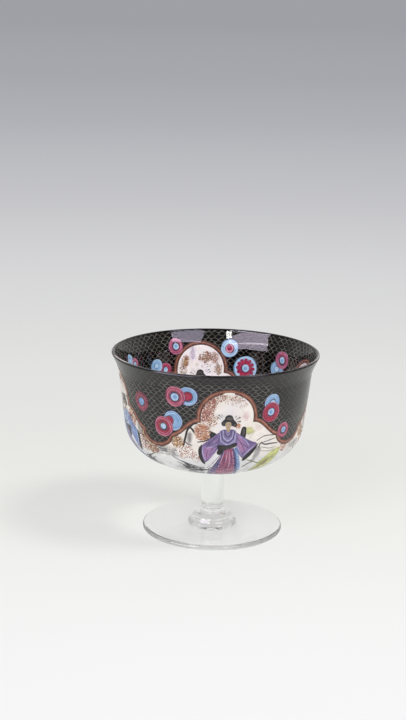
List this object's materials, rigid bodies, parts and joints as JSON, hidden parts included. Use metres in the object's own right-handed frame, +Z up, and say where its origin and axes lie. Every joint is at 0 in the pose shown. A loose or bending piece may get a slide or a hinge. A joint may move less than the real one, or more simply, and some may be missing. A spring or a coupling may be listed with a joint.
{
  "type": "footed bowl",
  "caption": "Enamelled glass coupe bowl with a flared lip on a short stem and round foot; black net ground with roundels and lobed picture panels outside",
  "frame": {"origin": "middle of the foot's underside, on the surface that the bowl stands on", "axes": "+Z up along the bowl's axis; -Y is the front, where the picture panel of the picture faces; +X to the right seen from the front"},
  "size_m": [0.12, 0.12, 0.1071],
  "materials": {
    "clear_glass": "clear, fire polished",
    "black_enamel": "fired enamel, glossy, with a fine gilt net",
    "copper_enamel": "fired enamel, satin, with dark edge lines",
    "cream_enamel": "fired enamel, semi-opaque, fading out towards the base",
    "pink_enamel": "fired enamel, rings in two pinks round a pale blue middle",
    "crimson_enamel": "fired enamel, glossy",
    "pale_blue_enamel": "fired enamel, glossy",
    "violet_enamel": "fired enamel, translucent brushwork",
    "green_enamel": "fired enamel, translucent brushwork",
    "blue_robe_enamel": "fired enamel, translucent brushwork"
  },
  "bodies": {
    "root": {"bowl_glass": "clear_glass", "stem": "clear_glass", "collar": "clear_glass", "foot": "clear_glass", "black_ground": "black_enamel", "scalloped_ribbon": "copper_enamel", "panel_front": "cream_enamel", "robe_front": "violet_enamel", "panel_right": "cream_enamel", "robe_right": "crimson_enamel", "panel_back": "cream_enamel", "robe_back": "green_enamel", "panel_left": "cream_enamel", "robe_left": "blue_robe_enamel", "roundel_01": "pink_enamel", "roundel_01_behind": "pale_blue_enamel", "roundel_02": "pink_enamel", "roundel_02_behind": "pale_blue_enamel", "roundel_03": "pink_enamel", "roundel_04": "crimson_enamel", "roundel_04_behind": "pale_blue_enamel", "roundel_05": "pink_enamel", "roundel_06": "pink_enamel", "roundel_07": "pale_blue_enamel", "roundel_08": "pale_blue_enamel", "roundel_09": "pink_enamel", "roundel_09_behind": "pale_blue_enamel", "roundel_10": "pale_blue_enamel", "roundel_10_behind": "pink_enamel", "roundel_11": "pale_blue_enamel", "roundel_11_behind": "crimson_enamel", "roundel_12": "pink_enamel", "roundel_12_behind": "pale_blue_enamel", "roundel_13": "pink_enamel"}
  },
  "joints": []
}
